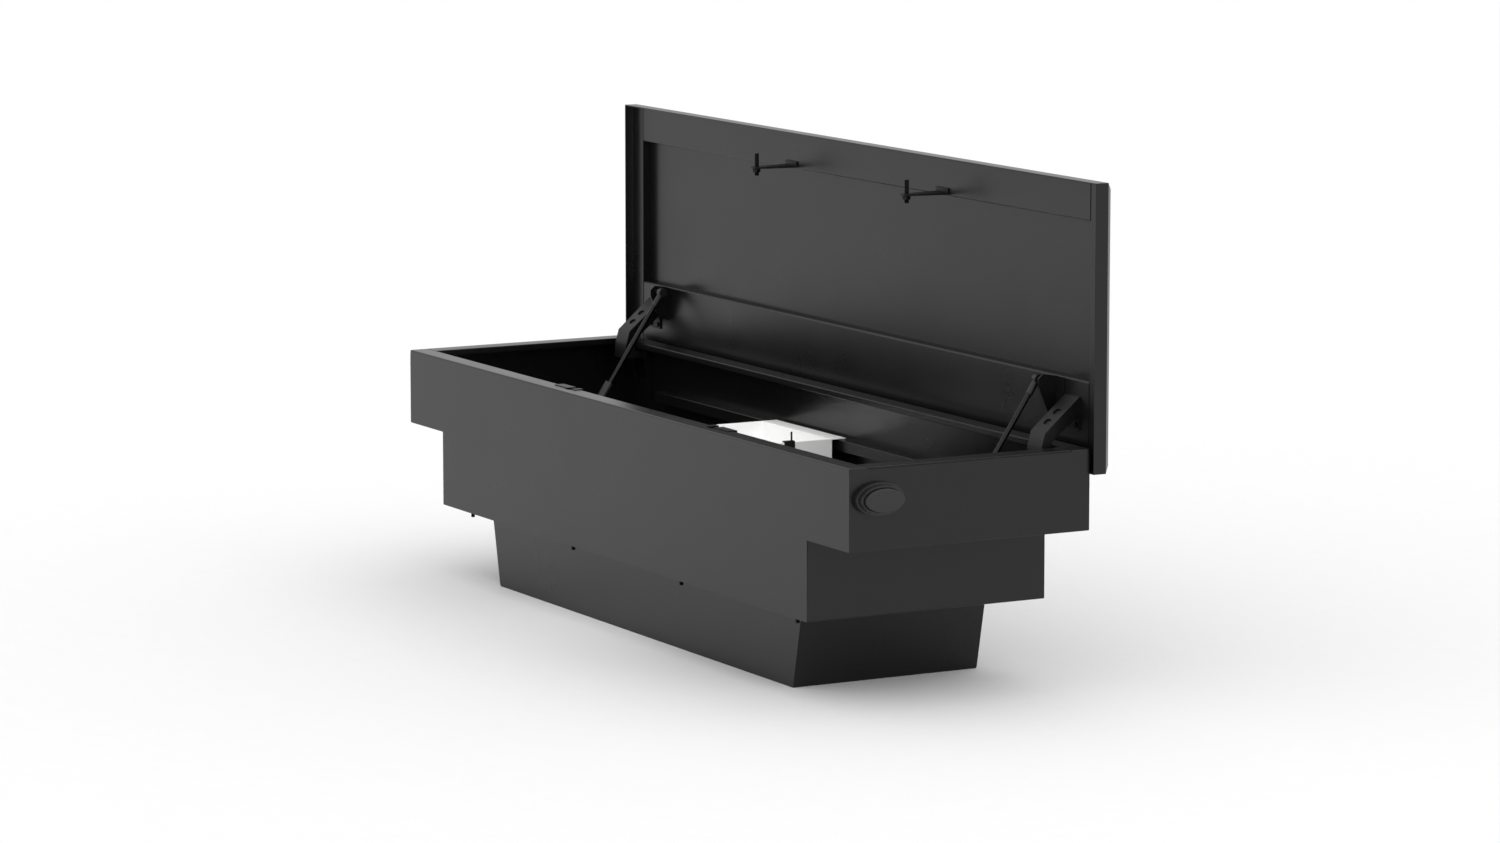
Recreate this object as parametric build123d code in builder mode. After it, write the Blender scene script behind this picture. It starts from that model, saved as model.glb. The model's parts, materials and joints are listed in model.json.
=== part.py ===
from build123d import *
import os

# Crossover truck tool box with a hinged lid, gas struts, sliding tray and push-button latches.
# Millimetres. +X runs along the box to its right end, +Y to its back, +Z up.
# The origin is on the underside of the tub, at its plan centre. The lid is drawn open.

os.makedirs("parts", exist_ok=True)

# ---- driving dimensions ------------------------------------------------------------------
SHEET = 2.0                       # sheet thickness of the box and lid
LENGTH = 1778.0                   # outside length of the top section
WIDTH = 494.0                     # outside depth, front to back
HEIGHT = 443.0                    # rim height over the tub's underside
SHOULDER_Z = 295.0                # underside of the top section, which rests on the bed rails
LEDGE_Z = 148.0                   # underside of the middle section
MIDDLE_LENGTH = 1480.0            # outside length of the middle section
TUB_TOP_LENGTH = 1254.0           # outside length of the tub where it meets the ledge
TUB_BASE_LENGTH = 1189.0          # outside length of the tub at its underside
TUB_WIDTH = 386.0                 # outside depth of the tub

RIM_WIDTH = 38.0                  # width of the folded rim
RIM_LIP = 10.0                    # depth of the lip at the rim's inner edge
RIM_BEND = 3.0                    # outer bend radius of the rim

LID_LENGTH = 1798.0
LID_DEPTH = 521.0                 # front to back when shut, so its height when open
LID_THICK = 38.0
LID_CHAMFER = 12.0
LID_FRAME_DEPTH = 18.0            # inner frame, measured in from the skirt's edge
LID_OPEN_Y = 248.8                # plane of the skirt's edge when the lid is open
LID_OPEN_Z = 396.0                # lowest edge of the lid when it is open
LID_RAIL_WIDTH = 43.0
LID_FRONT_BAND = 70.0
LID_REAR_BAND = 159.0

HINGE_X = 800.0                   # both hinge arms, left and right of the middle
HINGE_Y = 236.0                   # lid pivot
HINGE_Z = 417.2
HINGE_PIN_R = 4.0
RUNNING_GAP = 0.05                # radial clearance of a pin in its hole
ARM_WIDTH = 48.0

STRUT_X = 722.0
STRUT_FOOT_Y, STRUT_FOOT_Z = -6.0, 183.0
STRUT_TOP_Y, STRUT_TOP_Z = 240.0, 548.0
STRUT_TUBE_R = 11.0
STRUT_ROD_R = 5.0
STUD_PIN_R = 4.0                  # the stud that the strut's foot turns on

LATCH_RIGHT_X = 343.0             # the two strikers and their latches
LATCH_LEFT_X = -230.0
STRIKER_REACH = 78.8              # striker bolt, in front of the lid's inner frame
STRIKER_R = 4.75

BUTTON_Y, BUTTON_Z = -190.0, 387.0
PUSH_ROD_R = 5.0

TRAY_LEFT, TRAY_RIGHT = -236.0, 36.0
TRAY_DEPTH = 65.0
TRAY_BODY_Y = 206.0
RAIL_TOP_Z = 348.0
RAIL_WIDTH = 25.0
RAIL_DROP = 22.0
RAIL_HALF_LENGTH = 715.0

STUD_XS = (-660.0, -220.0, 220.0, 660.0)
STUD_Y = 220.0
STUD_R = 4.0
STUD_DROP = 16.0

# ---- derived places ----------------------------------------------------------------------
HALF_L = LENGTH / 2
HALF_W = WIDTH / 2
HALF_MID = MIDDLE_LENGTH / 2
HALF_TUB = TUB_TOP_LENGTH / 2
HALF_BASE = TUB_BASE_LENGTH / 2
HALF_TUB_W = TUB_WIDTH / 2
RIM_Y = HALF_W - RIM_WIDTH                      # inner edge of the front and back rims
LID_TOP_Z = LID_OPEN_Z + LID_DEPTH
LID_FRAME_Y = LID_OPEN_Y + LID_FRAME_DEPTH      # face of the lid's inner frame, lid open
LID_SKIN_Y = LID_OPEN_Y + LID_THICK - SHEET     # inner face of the lid's skin
LID_HALF = LID_LENGTH / 2
TUB_LEAN = (HALF_TUB - HALF_BASE) / LEDGE_Z     # slope of the tub's ends


def save(piece, name):
    piece.part.label = name
    export_step(piece.part, f"parts/{name}.step")
    return piece


def save_mirrored(source, about, name):
    with BuildPart() as twin:
        mirror(source.part, about=about)
    return save(twin, name)


def block(low, high):
    """Add a box between two corners to the part being built."""
    size = [b - a for a, b in zip(low, high)]
    centre = [(a + b) / 2 for a, b in zip(low, high)]
    with Locations(tuple(centre)):
        Box(*size)


def cut_block(low, high):
    """Take a box between two corners out of the part being built."""
    size = [b - a for a, b in zip(low, high)]
    centre = [(a + b) / 2 for a, b in zip(low, high)]
    with Locations(tuple(centre)):
        Box(*size, mode=Mode.SUBTRACT)


def side_plane(x):
    """A sketch plane across the box at x: its own x runs along +Y and its own y along +Z."""
    return Plane(origin=(x, 0, 0), x_dir=(0, 1, 0), z_dir=(1, 0, 0))


def front_plane(y):
    """A sketch plane facing the front at y: its own x runs along +X and its own y along +Z."""
    return Plane(origin=(0, y, 0), x_dir=(1, 0, 0), z_dir=(0, -1, 0))


def edges_at(builder, axis, **where):
    """Edges along one axis whose middle lies at the given X, Y or Z."""
    def fits(edge):
        middle = edge.center()
        return all(abs(getattr(middle, key) - value) < 0.01 for key, value in where.items())
    return builder.edges().filter_by(axis).filter_by(fits)


# ---- front and back panels ---------------------------------------------------------------
# Each is one T-shaped sheet with its top folded inward into the rim and a lip turned down.

NOTCH_HALF, NOTCH_DEPTH = 10.0, 19.0            # clears the striker bolt as the lid shuts
CUT_OVER = 1.0                                  # a cut runs this far past the face it opens


def t_panel(notches):
    with BuildPart() as panel:
        with BuildSketch(front_plane(-HALF_W + SHEET)):
            with BuildLine():
                Polyline(
                    (-HALF_L, SHOULDER_Z), (-HALF_MID, SHOULDER_Z), (-HALF_MID, LEDGE_Z),
                    (HALF_MID, LEDGE_Z), (HALF_MID, SHOULDER_Z), (HALF_L, SHOULDER_Z),
                    (HALF_L, HEIGHT), (-HALF_L, HEIGHT), close=True)
            make_face()
        extrude(amount=SHEET)
        block((-HALF_L, -HALF_W + SHEET, HEIGHT - SHEET), (HALF_L, -RIM_Y, HEIGHT))
        block((-HALF_L + RIM_WIDTH, -RIM_Y - SHEET, HEIGHT - SHEET - RIM_LIP),
              (HALF_L - RIM_WIDTH, -RIM_Y, HEIGHT - SHEET))
        for x in notches:
            cut_block((x - NOTCH_HALF, -RIM_Y - NOTCH_DEPTH, HEIGHT - SHEET - RIM_LIP - CUT_OVER),
                      (x + NOTCH_HALF, -RIM_Y + CUT_OVER, HEIGHT + CUT_OVER))
        fillet(edges_at(panel, Axis.X, Y=-HALF_W, Z=HEIGHT), RIM_BEND)
    return panel


front_panel = save(t_panel((LATCH_LEFT_X, LATCH_RIGHT_X)), "front_panel")
save_mirrored(t_panel(()), Plane.XZ, "back_panel")

# ---- ends of the top section: wall, rim and shoulder floor -------------------------------

END_GAP = 3.8                     # the end wall's top edge, below the rim's top
RIM_STEP = 0.6                    # the end rim is set in a little from the end wall
STEM_HOLE_R = 12.0

with BuildPart() as end_wall:
    with BuildSketch(side_plane(HALF_L - SHEET)):
        with BuildLine():
            Polyline(
                (-HALF_W + SHEET, SHOULDER_Z + SHEET), (HALF_W - SHEET, SHOULDER_Z + SHEET),
                (HALF_W - SHEET, HEIGHT - SHEET), (RIM_Y, HEIGHT - SHEET),
                (RIM_Y, HEIGHT - END_GAP), (-RIM_Y, HEIGHT - END_GAP),
                (-RIM_Y, HEIGHT - SHEET), (-HALF_W + SHEET, HEIGHT - SHEET), close=True)
        make_face()
        with Locations((BUTTON_Y, BUTTON_Z)):
            Circle(STEM_HOLE_R, mode=Mode.SUBTRACT)
    extrude(amount=SHEET)
save(end_wall, "end_wall_right")
save_mirrored(end_wall, Plane.YZ, "end_wall_left")

RIM_SHEET = 2.5
RIM_LEG = 25.0
with BuildPart() as end_rim:
    block((HALF_L - RIM_WIDTH - SHEET, -RIM_Y, HEIGHT - RIM_SHEET),
          (HALF_L - RIM_STEP, RIM_Y, HEIGHT))
    block((HALF_L - SHEET - RIM_SHEET, -RIM_Y, HEIGHT - RIM_LEG),
          (HALF_L - SHEET, RIM_Y, HEIGHT - RIM_SHEET))
    block((HALF_L - RIM_WIDTH - SHEET, -RIM_Y, HEIGHT - SHEET - RIM_LIP),
          (HALF_L - RIM_WIDTH, RIM_Y, HEIGHT - RIM_SHEET))
    fillet(edges_at(end_rim, Axis.Y, X=HALF_L - RIM_STEP, Z=HEIGHT), RIM_SHEET / 2)
save(end_rim, "end_rim_right")
save_mirrored(end_rim, Plane.YZ, "end_rim_left")

with BuildPart() as shoulder_floor:
    block((HALF_MID, -HALF_W + SHEET, SHOULDER_Z), (HALF_L, HALF_W - SHEET, SHOULDER_Z + SHEET))
save(shoulder_floor, "shoulder_floor_right")
save_mirrored(shoulder_floor, Plane.YZ, "shoulder_floor_left")

# ---- middle section: end walls folded into their ledges, and the two long ledges ---------

with BuildPart() as middle_end:
    block((HALF_MID - SHEET, -HALF_W + SHEET, LEDGE_Z + SHEET),
          (HALF_MID, HALF_W - SHEET, SHOULDER_Z + SHEET))
    block((HALF_TUB, -HALF_W + SHEET, LEDGE_Z), (HALF_MID, HALF_W - SHEET, LEDGE_Z + SHEET))
save(middle_end, "middle_end_right")
save_mirrored(middle_end, Plane.YZ, "middle_end_left")

with BuildPart() as ledge_front:
    block((-HALF_TUB, -HALF_W + SHEET, LEDGE_Z), (HALF_TUB, -HALF_TUB_W, LEDGE_Z + SHEET))
save(ledge_front, "ledge_front")
save_mirrored(ledge_front, Plane.XZ, "ledge_back")

# ---- tub: a floor, two upright walls and two leaning ends --------------------------------

LOW_X = HALF_BASE + TUB_LEAN * SHEET            # outer face of the leaning end, at the floor's top
HIGH_X = HALF_TUB                               # and at the ledge

with BuildPart() as tub_front_wall:
    with BuildSketch(front_plane(-HALF_TUB_W + SHEET)):
        with BuildLine():
            Polyline((-LOW_X, SHEET), (LOW_X, SHEET), (HIGH_X, LEDGE_Z), (HIGH_X, LEDGE_Z + SHEET),
                     (-HIGH_X, LEDGE_Z + SHEET), (-HIGH_X, LEDGE_Z), close=True)
        make_face()
    extrude(amount=SHEET)
save(tub_front_wall, "tub_front_wall")
save_mirrored(tub_front_wall, Plane.XZ, "tub_back_wall")

with BuildPart() as tub_end:
    with BuildSketch(front_plane(HALF_TUB_W - SHEET)):
        with BuildLine():
            Polyline((LOW_X, SHEET), (HIGH_X, LEDGE_Z), (HIGH_X, LEDGE_Z + SHEET),
                     (HIGH_X - SHEET, LEDGE_Z + SHEET), (LOW_X - SHEET, SHEET), close=True)
        make_face()
    extrude(amount=TUB_WIDTH - 2 * SHEET)
save(tub_end, "tub_end_right")
save_mirrored(tub_end, Plane.YZ, "tub_end_left")

with BuildPart() as tub_floor:
    block((-HALF_BASE, -HALF_TUB_W, 0), (HALF_BASE, HALF_TUB_W, SHEET))
save(tub_floor, "tub_floor")

# ---- rails that carry the tray, one along each long wall ---------------------------------

with BuildPart() as tray_rail:
    block((-RAIL_HALF_LENGTH, HALF_W - SHEET - RAIL_WIDTH, RAIL_TOP_Z - SHEET),
          (RAIL_HALF_LENGTH, HALF_W - SHEET, RAIL_TOP_Z))
    block((-RAIL_HALF_LENGTH, HALF_W - SHEET - RAIL_WIDTH, RAIL_TOP_Z - RAIL_DROP),
          (RAIL_HALF_LENGTH, HALF_W - RAIL_WIDTH, RAIL_TOP_Z - SHEET))
save(tray_rail, "tray_rail_back")
save_mirrored(tray_rail, Plane.XZ, "tray_rail_front")

# ---- studs under the ledges --------------------------------------------------------------

COLLAR_R, COLLAR_THICK = 7.0, 3.0
with BuildPart() as mounting_studs:
    with Locations(*[(x, y, LEDGE_Z) for x in STUD_XS for y in (-STUD_Y, STUD_Y)]):
        Cylinder(COLLAR_R, COLLAR_THICK, align=(Align.CENTER, Align.CENTER, Align.MAX))
        Cylinder(STUD_R, STUD_DROP, align=(Align.CENTER, Align.CENTER, Align.MAX))
save(mounting_studs, "mounting_studs")

# ---- hinge brackets and pins on the back wall --------------------------------------------

EAR_THICK = 3.0
EAR_IN = ARM_WIDTH / 2 + 2.0                    # inner face of an ear, from the hinge's middle
EAR_OUT = EAR_IN + EAR_THICK
BRACKET_LOW, BRACKET_MID, EAR_FRONT = 325.0, 358.0, 225.0
EAR_ABOVE, EAR_BELOW, EAR_CORNER = 10.0, 12.0, 4.0      # the ear's outline round the pin
EAR_FOOT = 6.0                                  # the ear's depth at its lowest point

with BuildPart() as hinge_bracket:
    block((HINGE_X - EAR_OUT, HALF_W - SHEET - EAR_THICK, BRACKET_LOW),
          (HINGE_X + EAR_OUT, HALF_W - SHEET, BRACKET_MID))
    for side in (-1, 1):
        ear_x = HINGE_X + side * (EAR_IN + EAR_OUT) / 2 - EAR_THICK / 2
        with BuildSketch(side_plane(ear_x)):
            with BuildLine():
                Polyline((HALF_W - SHEET, BRACKET_LOW), (HALF_W - SHEET, HINGE_Z + EAR_ABOVE),
                         (EAR_FRONT + EAR_CORNER, HINGE_Z + EAR_ABOVE),
                         (EAR_FRONT, HINGE_Z + EAR_ABOVE - EAR_CORNER), (EAR_FRONT, HINGE_Z - EAR_BELOW),
                         (HALF_W - SHEET - EAR_FOOT, BRACKET_LOW), close=True)
            make_face()
            with Locations((HINGE_Y, HINGE_Z)):
                Circle(HINGE_PIN_R, mode=Mode.SUBTRACT)
        extrude(amount=EAR_THICK)
save(hinge_bracket, "hinge_bracket_right")
save_mirrored(hinge_bracket, Plane.YZ, "hinge_bracket_left")

PIN_HEAD, PIN_HEAD_R = 2.5, 6.5
with BuildPart() as hinge_pins:
    for x in (-HINGE_X, HINGE_X):
        with BuildSketch(side_plane(x - EAR_OUT - PIN_HEAD)):
            with Locations((HINGE_Y, HINGE_Z)):
                Circle(HINGE_PIN_R)
        extrude(amount=2 * (EAR_OUT + PIN_HEAD))
        for head_x in (x - EAR_OUT - PIN_HEAD, x + EAR_OUT):
            with BuildSketch(side_plane(head_x)):
                with Locations((HINGE_Y, HINGE_Z)):
                    Circle(PIN_HEAD_R)
            extrude(amount=PIN_HEAD)
save(hinge_pins, "hinge_pins")

# ---- hinge arms: pressed goose-neck channels that carry the lid round the rim ------------

ARM_SHEET = 3.0
ARM_HALF = ARM_WIDTH / 2
BARREL_R = 8.0
HOLE_Y, HOLE_Z = 211.6, 484.2                   # first lightening slot, on the sloping face
SLOPE_Y, SLOPE_Z = 0.762, 0.647                 # unit direction up the sloping face
SLOT_LENGTH, SLOT_WIDTH, SLOT_STEP = 19.0, 13.0, 26.0
SLOT_CUT = 6.0                                  # half depth of the slot's cut, through the face only
FLANGE_LOW, FLANGE_HIGH = 466.0, 526.0          # the flange screwed to the lid's rear channel

FACE = [(183.5, 409.4), (185.5, 437.0), (193.5, 465.0), (263.8, 525.0), (LID_FRAME_Y, 527.0)]
FACE_BACK = [(LID_FRAME_Y, 523.0), (195.9, 462.2), (188.5, 436.4), (186.5, 409.4)]
CHEEK_BACK = [(LID_FRAME_Y, 497.0), (209.0, 449.0), (205.0, 425.0), (HINGE_Y, 425.0),
              (HINGE_Y, 409.4)]

with BuildPart() as hinge_arm:
    with BuildSketch(side_plane(HINGE_X - ARM_HALF)):
        with BuildLine():
            Polyline(*FACE, *FACE_BACK, close=True)
        make_face()
    extrude(amount=ARM_WIDTH)
    for cheek_x in (HINGE_X - ARM_HALF, HINGE_X + ARM_HALF - ARM_SHEET):
        with BuildSketch(side_plane(cheek_x)):
            with BuildLine():
                Polyline(*FACE, *CHEEK_BACK, close=True)
            make_face()
        extrude(amount=ARM_SHEET)
    block((HINGE_X - ARM_HALF, LID_FRAME_Y - ARM_SHEET, FLANGE_LOW),
          (HINGE_X + ARM_HALF, LID_FRAME_Y, FLANGE_HIGH))
    with BuildSketch(side_plane(HINGE_X - ARM_HALF)):
        with Locations((HINGE_Y, HINGE_Z)):
            Circle(BARREL_R)
    extrude(amount=ARM_WIDTH)
    with BuildSketch(side_plane(HINGE_X - ARM_HALF)):
        with Locations((HINGE_Y, HINGE_Z)):
            Circle(HINGE_PIN_R + RUNNING_GAP)
    extrude(amount=ARM_WIDTH, mode=Mode.SUBTRACT)
    for step in (0.0, SLOT_STEP):
        slot_origin = (HINGE_X, HOLE_Y + SLOPE_Y * step, HOLE_Z + SLOPE_Z * step)
        with BuildSketch(Plane(origin=slot_origin, x_dir=(1, 0, 0), z_dir=(0, -SLOPE_Z, SLOPE_Y))):
            SlotOverall(SLOT_LENGTH, SLOT_WIDTH)
        extrude(amount=SLOT_CUT, both=True, mode=Mode.SUBTRACT)
save(hinge_arm, "hinge_arm_right")
save_mirrored(hinge_arm, Plane.YZ, "hinge_arm_left")

# ---- lid: chamfered shell and inner frame ------------------------------------------------

with BuildPart() as lid_shell:
    block((-LID_HALF, LID_OPEN_Y, LID_OPEN_Z), (LID_HALF, LID_OPEN_Y + LID_THICK, LID_TOP_Z))
    outer = lid_shell.faces().sort_by(Axis.Y)[-1]
    chamfer(outer.edges(), LID_CHAMFER)
    offset(amount=-SHEET, openings=lid_shell.faces().sort_by(Axis.Y)[0], kind=Kind.INTERSECTION)
save(lid_shell, "lid_shell")

RAIL_IN = LID_HALF - SHEET - LID_RAIL_WIDTH     # inner edge of a side rail
FRONT_BAND_Z = LID_TOP_Z - SHEET - LID_FRONT_BAND
REAR_BAND_Z = LID_OPEN_Z + SHEET + LID_REAR_BAND
END_PLAY = 2.0                                  # gap between a channel's end and the side rail
FRONT_BEND, REAR_BEND = 2.0, 4.0                # outer bend radius of each channel

with BuildPart() as lid_front_channel:
    block((-RAIL_IN + END_PLAY, LID_FRAME_Y, FRONT_BAND_Z),
          (RAIL_IN - END_PLAY, LID_FRAME_Y + SHEET, LID_TOP_Z - SHEET))
    block((-RAIL_IN + END_PLAY, LID_FRAME_Y + SHEET, FRONT_BAND_Z),
          (RAIL_IN - END_PLAY, LID_SKIN_Y, FRONT_BAND_Z + SHEET))
    fillet(edges_at(lid_front_channel, Axis.X, Y=LID_FRAME_Y, Z=FRONT_BAND_Z), FRONT_BEND)
save(lid_front_channel, "lid_front_channel")

with BuildPart() as lid_rear_channel:
    block((-RAIL_IN + END_PLAY, LID_FRAME_Y, LID_OPEN_Z + SHEET),
          (RAIL_IN - END_PLAY, LID_FRAME_Y + SHEET, REAR_BAND_Z))
    block((-RAIL_IN + END_PLAY, LID_FRAME_Y + SHEET, REAR_BAND_Z - SHEET),
          (RAIL_IN - END_PLAY, LID_SKIN_Y, REAR_BAND_Z))
    fillet(edges_at(lid_rear_channel, Axis.X, Y=LID_FRAME_Y, Z=REAR_BAND_Z), REAR_BEND)
save(lid_rear_channel, "lid_rear_channel")

with BuildPart() as lid_side_rail:
    block((RAIL_IN, LID_FRAME_Y, LID_OPEN_Z + SHEET),
          (LID_HALF - SHEET, LID_FRAME_Y + SHEET, LID_TOP_Z - SHEET))
    block((RAIL_IN, LID_FRAME_Y + SHEET, LID_OPEN_Z + LID_CHAMFER + SHEET),
          (RAIL_IN + SHEET, LID_SKIN_Y, LID_TOP_Z - LID_CHAMFER - SHEET))
save(lid_side_rail, "lid_side_rail_right")
save_mirrored(lid_side_rail, Plane.YZ, "lid_side_rail_left")

# ---- strikers: a tapered bracket and a bolt each -----------------------------------------

STRIKER_Y = LID_FRAME_Y - STRIKER_REACH         # bolt axis, lid open
STRIKER_Z = FRONT_BAND_Z + 2.0                  # underside of the bracket's arm
STRIKER_SHEET = 4.0
STRIKER_BASE_HALF, STRIKER_NECK_HALF, STRIKER_TIP_HALF = 22.0, 9.0, 5.0
STRIKER_TIP, STRIKER_SHOULDER, STRIKER_TAPER_END = 10.0, 6.0, 8.0      # along it, from the bolt
STRIKER_FLANGE, STRIKER_FLANGE_HIGH = 3.0, 12.0


def striker_bracket(x, name):
    with BuildPart() as bracket:
        with BuildSketch(Plane.XY.offset(STRIKER_Z)):
            with BuildLine():
                Polyline(
                    (x - STRIKER_BASE_HALF, LID_FRAME_Y), (x + STRIKER_BASE_HALF, LID_FRAME_Y),
                    (x + STRIKER_NECK_HALF, STRIKER_Y + STRIKER_TAPER_END),
                    (x + STRIKER_NECK_HALF, STRIKER_Y - STRIKER_SHOULDER),
                    (x + STRIKER_TIP_HALF, STRIKER_Y - STRIKER_TIP),
                    (x - STRIKER_TIP_HALF, STRIKER_Y - STRIKER_TIP),
                    (x - STRIKER_NECK_HALF, STRIKER_Y - STRIKER_SHOULDER),
                    (x - STRIKER_NECK_HALF, STRIKER_Y + STRIKER_TAPER_END), close=True)
            make_face()
            with Locations((x, STRIKER_Y)):
                Circle(STRIKER_R, mode=Mode.SUBTRACT)
        extrude(amount=STRIKER_SHEET)
        block((x - STRIKER_BASE_HALF, LID_FRAME_Y - STRIKER_FLANGE, STRIKER_Z + STRIKER_SHEET),
              (x + STRIKER_BASE_HALF, LID_FRAME_Y, STRIKER_Z + STRIKER_FLANGE_HIGH))
    return save(bracket, name)


striker_bracket(LATCH_RIGHT_X, "striker_bracket_right")
striker_bracket(LATCH_LEFT_X, "striker_bracket_left")

NUT_THICK, NUT_R = 6.5, 8.5
BOLT_BELOW_NUT, BOLT_LENGTH, BOLT_CHAMFER = 7.0, 44.0, 1.2
with BuildPart() as striker_bolts:
    for x in (LATCH_LEFT_X, LATCH_RIGHT_X):
        with BuildSketch(Plane.XY.offset(STRIKER_Z - NUT_THICK - BOLT_BELOW_NUT)):
            with Locations((x, STRIKER_Y)):
                Circle(STRIKER_R)
        extrude(amount=BOLT_LENGTH)
        with BuildSketch(Plane.XY.offset(STRIKER_Z - NUT_THICK)):
            with Locations((x, STRIKER_Y)):
                RegularPolygon(NUT_R, 6)
        extrude(amount=NUT_THICK)
    chamfer(striker_bolts.edges().filter_by(GeomType.CIRCLE).group_by(Axis.Z)[-1], BOLT_CHAMFER)
save(striker_bolts, "striker_bolts")

# ---- gas struts: bracket on the lid, stud on the middle section's end, tube, rod and eyes 

STRUT_RUN_Y = STRUT_TOP_Y - STRUT_FOOT_Y
STRUT_RUN_Z = STRUT_TOP_Z - STRUT_FOOT_Z
STRUT_LENGTH = (STRUT_RUN_Y ** 2 + STRUT_RUN_Z ** 2) ** 0.5
STRUT_DIR = (0, STRUT_RUN_Y / STRUT_LENGTH, STRUT_RUN_Z / STRUT_LENGTH)
TUBE_START, TUBE_END = 18.0, 226.0
BORE_START, BORE_END, BORE_R = 26.0, 218.0, 9.5
PISTON_START, PISTON_R, PISTON_LONG = 206.0, 9.3, 10.0
SOCKET_R, SOCKET_START, SOCKET_LONG = 6.5, 408.0, 26.0  # the eye's socket, screwed on the rod
NECK_WIDTH = 12.0                                       # the flattened neck of the foot
EYE_HALF = 6.0
EYE_R = 9.0


def along_strut(distance):
    """A sketch plane square to the right strut, at a distance up from its foot."""
    origin = (STRUT_X, STRUT_FOOT_Y + STRUT_DIR[1] * distance, STRUT_FOOT_Z + STRUT_DIR[2] * distance)
    return Plane(origin=origin, x_dir=(1, 0, 0), z_dir=STRUT_DIR)


# The tube's foot is a flattened eye, welded on, that turns on the stud.
with BuildPart() as strut_cylinder:
    with BuildSketch(along_strut(TUBE_START)):
        Circle(STRUT_TUBE_R)
    extrude(amount=TUBE_END - TUBE_START)
    with BuildSketch(along_strut(BORE_START)):
        Circle(BORE_R)
    extrude(amount=BORE_END - BORE_START, mode=Mode.SUBTRACT)
    with BuildSketch(along_strut(BORE_END)):
        Circle(STRUT_ROD_R + RUNNING_GAP)
    extrude(amount=TUBE_END - BORE_END, mode=Mode.SUBTRACT)
    with BuildSketch(along_strut(0)):
        Rectangle(2 * EYE_HALF, NECK_WIDTH)
    extrude(amount=TUBE_START)
    with BuildSketch(side_plane(STRUT_X - EYE_HALF)):
        with Locations((STRUT_FOOT_Y, STRUT_FOOT_Z)):
            Circle(EYE_R)
    extrude(amount=2 * EYE_HALF)
    with BuildSketch(side_plane(STRUT_X - EYE_HALF)):
        with Locations((STRUT_FOOT_Y, STRUT_FOOT_Z)):
            Circle(STUD_PIN_R + RUNNING_GAP)
    extrude(amount=2 * EYE_HALF, mode=Mode.SUBTRACT)
save(strut_cylinder, "strut_cylinder_right")
save_mirrored(strut_cylinder, Plane.YZ, "strut_cylinder_left")

with BuildPart() as strut_rod:
    with BuildSketch(along_strut(PISTON_START)):
        Circle(PISTON_R)
    extrude(amount=PISTON_LONG)
    with BuildSketch(along_strut(PISTON_START + PISTON_LONG)):
        Circle(STRUT_ROD_R)
    extrude(amount=SOCKET_START - PISTON_START - PISTON_LONG)
save(strut_rod, "strut_rod_right")
save_mirrored(strut_rod, Plane.YZ, "strut_rod_left")

with BuildPart() as strut_eye:
    with BuildSketch(along_strut(SOCKET_START)):
        Circle(SOCKET_R)
    extrude(amount=SOCKET_LONG)
    with BuildSketch(side_plane(STRUT_X - EYE_HALF)):
        with Locations((STRUT_TOP_Y, STRUT_TOP_Z)):
            Circle(EYE_R)
    extrude(amount=2 * EYE_HALF)
save(strut_eye, "strut_eye_right")
save_mirrored(strut_eye, Plane.YZ, "strut_eye_left")

STUD_TIP, STUD_PLATE = 3.0, 4.0
STUD_PLATE_Y, STUD_PLATE_Z = 36.0, 52.0
with BuildPart() as strut_studs:
    for side in (-1, 1):
        low_x = min(side * (STRUT_X - EYE_HALF - STUD_TIP), side * (HALF_MID - SHEET))
        with BuildSketch(side_plane(low_x)):
            with Locations((STRUT_FOOT_Y, STRUT_FOOT_Z)):
                Circle(STUD_PIN_R)
        extrude(amount=HALF_MID - SHEET - STRUT_X + EYE_HALF + STUD_TIP)
        base_x = side * (HALF_MID - SHEET) - (STUD_PLATE if side > 0 else 0.0)
        with BuildSketch(side_plane(base_x)):
            with Locations((STRUT_FOOT_Y, STRUT_FOOT_Z)):
                Rectangle(STUD_PLATE_Y, STUD_PLATE_Z)
        extrude(amount=STUD_PLATE)
save(strut_studs, "strut_studs")

CHEEK_X = 745.0
CHEEK_SHEET = 3.0
CHEEK_LOW, CHEEK_HIGH = 488.0, 555.0            # where it meets the lid's rear channel
CHEEK_NOSE = [(236.0, 560.0), (226.0, 552.0), (226.0, 540.0), (246.0, 492.0)]
CHEEK_FLANGE = 26.0
TOP_STUD_R = 5.0
PIVOT_GAP = 1.0                   # the strut's upper pivot is left open by this much
with BuildPart() as strut_bracket:
    with BuildSketch(side_plane(CHEEK_X)):
        with BuildLine():
            Polyline((LID_FRAME_Y, CHEEK_LOW), (LID_FRAME_Y, CHEEK_HIGH), *CHEEK_NOSE, close=True)
        make_face()
    extrude(amount=CHEEK_SHEET)
    block((CHEEK_X, LID_FRAME_Y - CHEEK_SHEET, CHEEK_LOW),
          (CHEEK_X + CHEEK_FLANGE, LID_FRAME_Y, CHEEK_HIGH))
    with BuildSketch(side_plane(STRUT_X + EYE_HALF + PIVOT_GAP)):
        with Locations((STRUT_TOP_Y, STRUT_TOP_Z)):
            Circle(TOP_STUD_R)
    extrude(amount=CHEEK_X - STRUT_X - EYE_HALF - PIVOT_GAP)
save(strut_bracket, "strut_bracket_right")
save_mirrored(strut_bracket, Plane.YZ, "strut_bracket_left")

# ---- screws that hold the hinge arms' flanges to the lid ---------------------------------

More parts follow.
